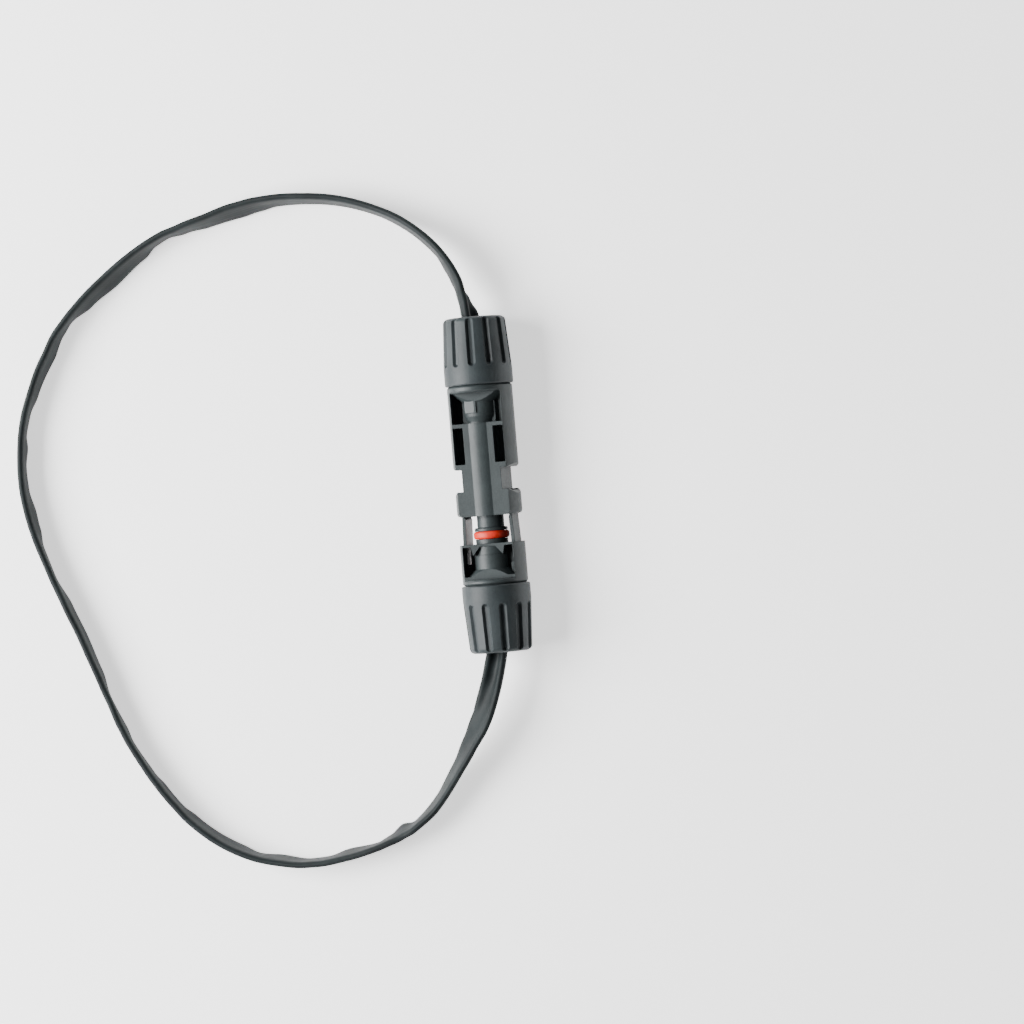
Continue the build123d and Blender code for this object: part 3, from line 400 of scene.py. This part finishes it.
@dataclass
class FlatLead:
    """The flat braided lead in its shrunk sleeve, from the pin side's nut round to the socket side's nut."""

    width_mm: float = 8.5
    thick_mm: float = 2.0
    face_steps: int = 10         # cells across one flat face
    edge_steps: int = 4          # cells round one edge
    ring_mm: float = 0.9         # spacing of the rings along the lead
    route_steps: int = 40        # points read from each span of the route
    face_thin: float = 0.25      # how far a face draws in at its edges, of half the thickness
    face_power: int = 4          # how late across the face it does so
    edge_bulge: float = 0.95     # an edge's bulge over half the thickness
    least_curl: float = 0.02     # radians, under which the section counts as flat
    lie_mm: float = 4.3          # height of the centre line on the ground, about half the width
    free_mm: float = 8.0         # centre line's height above which the lead hangs free
    settle_mm: float = 3.0       # fall over which it settles on the ground
    blend_mm: float = 45.0       # how far from the middle it starts to follow the other housing
    finish: ShrunkSleeve = ShrunkSleeve("heat_shrunk_sleeve", "#252b2c", "#1a1e1f")

    def route(self) -> list[tuple[float, float, float]]:
        """Gives the route's control points in metres, from the pin gland to the socket gland."""
        lie = self.lie_mm
        points = [
            (0, 43.1, 9.75), (-1.5, 54.5, 9.6), (-9, 68.5, 8.4), (-23.5, 80, 6.4), (-44, 87, 4.6),
            (-68, 86.5, lie), (-93.5, 81, lie), (-121, 63, lie), (-140, 38, lie), (-144.5, 8, lie),
            (-134.5, -21, lie), (-119.5, -60, lie), (-101.5, -90.5, lie), (-76, -105, lie), (-50, -103.5, lie),
            (-31, -97, 4.9), (-13.5, -76, 7.4), (-3, -58.5, 9.7), (0, -43.1, 9.75),
        ]
        return [(x * MM, y * MM, z * MM) for x, y, z in points]

    def stations(self) -> list[Station]:
        """Gives the lie of the lead at places along it."""
        return [
            Station(0, -25, -215, 0.3), Station(5, -14, -190, 0.5), Station(10, 8, -120, 0.6),
            Station(16, 26, -40, 0.6), Station(21, 25, -6, 0.4), Station(27, 19, 8), Station(40, 16, 8),
            Station(50, 12, 6), Station(70, 11, 5, -0.1), Station(82, 13, 6, -0.4), Station(87, 19, 9, -0.2),
            Station(93, 22, 10, 0.2), Station(104, 15, 6, 0.7), Station(111, 7, 0, 0.3),
            Station(117, 0, -6, -0.5), Station(121, 1, -2, -0.5), Station(126, 12, 8), Station(138, 18, 9, 0.4),
            Station(148, 10, 4, -0.1), Station(156, -6, -6, -1.0), Station(160, -3, -2, -0.9),
            Station(168, 2, 6, 0.1), Station(180, -5, 4, 0.2), Station(186, -12, -3, -0.3),
            Station(192, -14, -2, -0.4), Station(196, -9, 4), Station(201, -13, -2, -0.2),
            Station(208, -11, 0, -0.1), Station(215, -4, 6, 0.4), Station(220, -6, 3, 0.3),
            Station(226, -15, -4, -0.3), Station(235, -17, 0, -0.4), Station(245, -8, 5, 0.4),
            Station(255, -8, 4, 0.8), Station(266, -10, 2, 0.6), Station(275, -19, -4, -0.3),
            Station(284, -12, 2, -0.6), Station(289, -15, -2, -1.0), Station(300, -12, 2, -0.7),
            Station(305, -7, 3, -0.3), Station(313, -7, 3, -0.3), Station(318, 1, 6, -0.1),
            Station(335, 5, 4, -0.1), Station(340, 1, -4, -0.3), Station(348, 9, 6, 0.2),
            Station(357, 4, 0, -0.4), Station(362, 6, 0, -0.5), Station(369, 14, 8, 0.1),
            Station(378, 7, -4, -0.1), Station(382, 12, 0, 0.2), Station(387, 25, 10, 0.5),
            Station(391, 15, -4, -0.5), Station(400, 23, 8, -0.7), Station(412, 31, 14, -0.3),
            Station(421, 41, 30, -0.1), Station(428, 54, 60, -0.1), Station(436, 62, 120),
            Station(443, 70, 180), Station(449, 76, 210), Station(454, 78, 220),
        ]

    def build(self) -> bpy.types.Object:
        """Returns:
            The lead's object.
        """
        spine = self._spine()
        mesh = self._skin(spine)
        lead = bpy.data.objects.new("flat_lead", mesh)
        bpy.context.scene.collection.objects.link(lead)
        lead.data.materials.append(self.finish.make())
        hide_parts("lead_pin_half", "lead_socket_half")
        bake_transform(lead)
        return lead

    def _spine(self) -> list[Vector]:
        """Reads evenly spaced points from the route's NURBS spline."""
        points = self.route()
        curve = bpy.data.curves.new("lead_route", "CURVE")
        curve.dimensions = "3D"
        curve.resolution_u = self.route_steps
        spline = curve.splines.new("NURBS")
        spline.points.add(len(points) - 1)
        for point, place in zip(spline.points, points):
            point.co = (*place, 1.0)
        spline.order_u = 3
        spline.use_endpoint_u = True
        holder = bpy.data.objects.new("lead_route", curve)
        bpy.context.scene.collection.objects.link(holder)
        mesh = bpy.data.meshes.new_from_object(holder)
        raw = [vertex.co.copy() for vertex in mesh.vertices]
        bpy.data.objects.remove(holder)
        bpy.data.meshes.remove(mesh)
        bpy.data.curves.remove(curve)
        return self._even(raw)

    def _even(self, raw: list[Vector]) -> list[Vector]:
        """Spaces points evenly along a line.

        Args:
            raw: The line's points.

        Returns:
            Points about ring_mm apart on the same line.
        """
        reached = [0.0]
        for a, b in zip(raw, raw[1:]):
            reached.append(reached[-1] + (b - a).length)
        count = round(reached[-1] / (self.ring_mm * MM))
        even = []
        for index in range(count + 1):
            wanted = reached[-1] * index / count
            after = min(max(bisect.bisect_left(reached, wanted), 1), len(raw) - 1)
            span = reached[after] - reached[after - 1]
            share = (wanted - reached[after - 1]) / span if span > 0 else 0.0
            even.append(raw[after - 1].lerp(raw[after], share))
        return even

    def _lie_at(self, along_mm: float) -> tuple[float, float, float]:
        """Gives the lift and the cup in radians and the way inwards in metres, at a distance along the lead."""
        stations = self.stations()
        places = [station.along for station in stations]
        after = min(max(bisect.bisect_left(places, along_mm), 1), len(stations) - 1)
        a, b = stations[after - 1], stations[after]
        share = smooth((along_mm - a.along) / (b.along - a.along))
        lift = math.radians(blend(a.lift, b.lift, share))
        cup = math.radians(blend(a.cup, b.cup, share))
        return lift, cup, blend(a.inward, b.inward, share) * MM

    def _section(self, cup: float) -> list[tuple[float, float]]:
        """Gives the closed section as (across, out) pairs in millimetres.

        Args:
            cup: How far the width is curled, in radians. Positive is hollow on the out side.

        Returns:
            The outline's points, once round: inner face, top edge, outer face, bottom edge.
        """
        curl = cup if abs(cup) > self.least_curl else math.copysign(self.least_curl, cup or 1.0)
        radius = self.width_mm / curl
        half = self.thick_mm / 2
        flat = (self.width_mm - self.thick_mm) / self.width_mm
        middle = radius * (1 - math.sin(curl / 2) / (curl / 2))

        def on_face(share: float, out: float) -> tuple[float, float]:
            """Gives a point beside the curled middle line."""
            angle = curl * share
            lean_x, lean_y = -math.sin(angle), math.cos(angle)
            return radius * math.sin(angle) + lean_x * out, radius * (1 - math.cos(angle)) + lean_y * out - middle

        outline = []
        for step in range(self.face_steps + 1):
            share = (step / self.face_steps - 0.5) * flat
            outline.append(on_face(share, half * (1 - self.face_thin * (2 * share) ** self.face_power)))
        for end, sign in ((0.5, 1), (-0.5, -1)):
            edge = flat * end
            angle = curl * edge
            along = Vector((math.cos(angle), math.sin(angle))) * sign
            out = Vector((-math.sin(angle), math.cos(angle))) * sign
            centre = Vector(on_face(edge, 0.0))
            deep = half * (1 - self.face_thin * flat ** self.face_power)
            for step in range(1, self.edge_steps):
                turn = math.pi * step / self.edge_steps
                bulge = half * self.edge_bulge * math.sin(turn)
                point = centre + out * (deep * math.cos(turn)) + along * bulge
                outline.append((point.x, point.y))
            if sign > 0:
                for step in range(self.face_steps + 1):
                    share = (0.5 - step / self.face_steps) * flat
                    drop = half * (1 - self.face_thin * (2 * share) ** self.face_power)
                    outline.append(on_face(share, -drop))
        return outline

    def _skin(self, spine: list[Vector]) -> bpy.types.Mesh:
        """Wraps a grid round the spine as the sleeve's surface.

        Args:
            spine: Evenly spaced points of the centre line.

        Returns:
            The closed mesh, with its UV map in metres along and round the lead.
        """
        rings = len(spine)
        around = 2 * (self.face_steps + 1) + 2 * (self.edge_steps - 1)
        shape = bmesh.new()
        bmesh.ops.create_grid(shape, x_segments=rings - 1, y_segments=around, size=1.0, calc_uvs=False)
        shape.verts.ensure_lookup_table()
        uv = shape.loops.layers.uv.new("UVMap")
        columns = sorted(shape.verts, key=lambda vertex: (round(vertex.co.x, 6), round(vertex.co.y, 6)))
        total = sum((b - a).length for a, b in zip(spine, spine[1:]))
        step = total / (rings - 1)
        girth = 2 * self.width_mm * MM
        flat_place = {}
        for ring in range(rings):
            across_dir, out_dir, centre = self._ring_frame(spine, ring, step)
            outline = self._section(self._lie_at(ring * step / MM)[1])
            for index in range(around + 1):
                across, out = outline[index % around]
                vertex = columns[ring * (around + 1) + index]
                vertex.co = centre + across_dir * (across * MM) + out_dir * (out * MM)
                flat_place[vertex] = (ring * step, girth * index / around)
        for face in shape.faces:
            for loop in face.loops:
                loop[uv].uv = flat_place[loop.vert]
        bmesh.ops.remove_doubles(shape, verts=shape.verts, dist=1e-6)
        open_edges = [edge for edge in shape.edges if edge.is_boundary]
        bmesh.ops.holes_fill(shape, edges=open_edges, sides=around + 1)
        bmesh.ops.recalc_face_normals(shape, faces=shape.faces)
        for face in shape.faces:
            face.smooth = True
        mesh = bpy.data.meshes.new("flat_lead")
        shape.to_mesh(mesh)
        shape.free()
        return mesh

    def _ring_frame(self, spine: list[Vector], ring: int, step: float) -> tuple[Vector, Vector, Vector]:
        """Gives a ring's width direction, its inner face's direction and its centre.

        Args:
            spine: Evenly spaced points of the centre line.
            ring: Which point the ring is at.
            step: Distance between the points in metres.

        Returns:
            Width direction, inner face's direction and centre.
        """
        before = spine[max(ring - 1, 0)]
        after = spine[min(ring + 1, len(spine) - 1)]
        ahead = (after - before).normalized()
        inward = Vector((0, 0, 1)).cross(ahead).normalized()
        upward = ahead.cross(inward)
        lift, cup, sideways = self._lie_at(ring * step / MM)
        out_dir = inward * math.cos(lift) + upward * math.sin(lift)
        across_dir = upward * math.cos(lift) - inward * math.sin(lift)
        centre = spine[ring] + inward * sideways
        lowest = min(across_dir.z * across + out_dir.z * out for across, out in self._section(cup)) * MM
        lying = smooth((self.free_mm * MM - centre.z) / (self.settle_mm * MM))
        centre.z += (-lowest - centre.z) * lying
        return across_dir, out_dir, centre


# ---------------------------------------------------------------- studio
@dataclass(frozen=True)
class SoftBox:
    """A square soft light that faces the origin: place and side in metres, power in watts."""

    name: str
    place: tuple[float, float, float]
    size: float
    power: float

    def hang(self) -> None:
        """Adds the light to the scene."""
        data = bpy.data.lights.new(self.name, "AREA")
        data.shape = "SQUARE"
        data.size = self.size
        data.energy = self.power
        light = bpy.data.objects.new(self.name, data)
        light.location = self.place
        light.rotation_mode = "QUATERNION"
        light.rotation_quaternion = (-Vector(self.place)).to_track_quat("-Z", "Y")
        bpy.context.scene.collection.objects.link(light)
        log.info("hung %s", self.name)


@dataclass
class Studio:
    """Pale light table, two side soft boxes and the camera above the connector."""

    tilt_deg: float = 15.5       # camera's lean towards +X
    roll_deg: float = 4.78       # connector's lean to the view's left
    view_mm: float = 290.4       # width of the view at the connector's axis
    distance: float = 1.2
    target_mm: tuple[float, float, float] = (6.51, -8.35, 9.75)
    sensor_mm: float = 36.0
    walls_top: float = 0.1       # sine of the height up to which the surroundings are bright
    ceiling_start: float = 0.5   # sine of the height from which they are dim
    ceiling: tuple[float, float, float, float] = (0.25, 0.25, 0.26, 1.0)
    surround_glow: float = 0.2
    floor_half: float = 3.0      # metres
    floor_drop_mm: float = 0.05  # keeps the floor just clear of what stands on it
    card: StudioCard = StudioCard("light_table_acrylic", "#f4f4f4", 1.2)

    def build(self) -> None:
        """Builds the camera, the lights, the surroundings and the floor."""
        self._camera()
        self._lights()
        self._surroundings()
        self._floor()

    def _camera(self) -> None:
        """Places the camera over the connector, leaning to one side and rolled."""
        tilt = math.radians(self.tilt_deg)
        roll = math.radians(self.roll_deg)
        back = Vector((math.sin(tilt), 0, math.cos(tilt)))
        level = Vector((math.cos(tilt), 0, -math.sin(tilt)))
        ahead = Vector((0, 1, 0))
        right = level * math.cos(roll) - ahead * math.sin(roll)
        up = level * math.sin(roll) + ahead * math.cos(roll)
        data = bpy.data.cameras.new("camera")
        data.sensor_width = self.sensor_mm
        data.lens = self.sensor_mm * self.distance / (self.view_mm * MM)
        data.clip_start = 0.05
        data.clip_end = 20.0
        camera = bpy.data.objects.new("camera", data)
        turned = Matrix((right, up, back)).transposed().to_4x4()
        camera.matrix_world = Matrix.Translation(Vector(self.target_mm) * MM + back * self.distance) @ turned
        bpy.context.scene.collection.objects.link(camera)
        bpy.context.scene.camera = camera

    def _lights(self) -> None:
        """Adds the two side soft boxes, the left one brighter, and a weak one ahead."""
        boxes = [
            SoftBox("soft_box_left", (-0.62, 0.05, 0.50), 0.60, 23.0),
            SoftBox("soft_box_right", (0.95, -0.20, 0.22), 0.30, 0.5),
            SoftBox("soft_box_front", (-0.10, -0.90, 0.35), 0.40, 2.0),
        ]
        for box in boxes:
            box.hang()

    def _surroundings(self) -> None:
        """Makes the studio's surroundings: bright walls and a dimmer ceiling."""
        world = bpy.data.worlds.new("studio")
        world.use_nodes = True
        nodes = world.node_tree.nodes
        links = world.node_tree.links
        nodes.clear()
        place = nodes.new("ShaderNodeTexCoord")
        split = nodes.new("ShaderNodeSeparateXYZ")
        ramp = nodes.new("ShaderNodeValToRGB")
        background = nodes.new("ShaderNodeBackground")
        output = nodes.new("ShaderNodeOutputWorld")
        links.new(place.outputs["Generated"], split.inputs["Vector"])
        links.new(split.outputs["Z"], ramp.inputs["Fac"])
        ramp.color_ramp.elements[0].position = self.walls_top
        ramp.color_ramp.elements[0].color = (1.0, 1.0, 1.0, 1.0)
        ramp.color_ramp.elements[1].position = self.ceiling_start
        ramp.color_ramp.elements[1].color = self.ceiling
        links.new(ramp.outputs["Color"], background.inputs["Color"])
        background.inputs["Strength"].default_value = self.surround_glow
        links.new(background.outputs["Background"], output.inputs["Surface"])
        bpy.context.scene.world = world

    def _floor(self) -> None:
        """Lays the pale floor under the lead and the nuts."""
        shape = bmesh.new()
        bmesh.ops.create_grid(shape, x_segments=4, y_segments=4, size=self.floor_half)
        mesh = bpy.data.meshes.new("floor")
        shape.to_mesh(mesh)
        shape.free()
        mesh.transform(Matrix.Translation((0, 0, -self.floor_drop_mm * MM)))
        floor = bpy.data.objects.new("floor", mesh)
        bpy.context.scene.collection.objects.link(floor)
        floor.data.materials.append(self.card.make())


def main() -> None:
    """Builds the studio, the lead and the rigid pieces' finishes."""
    logging.basicConfig(level=logging.INFO, format="%(message)s")
    Studio().build()
    FlatLead().build()
    RigidPieces().dress()


if __name__ == "__main__":
    main()
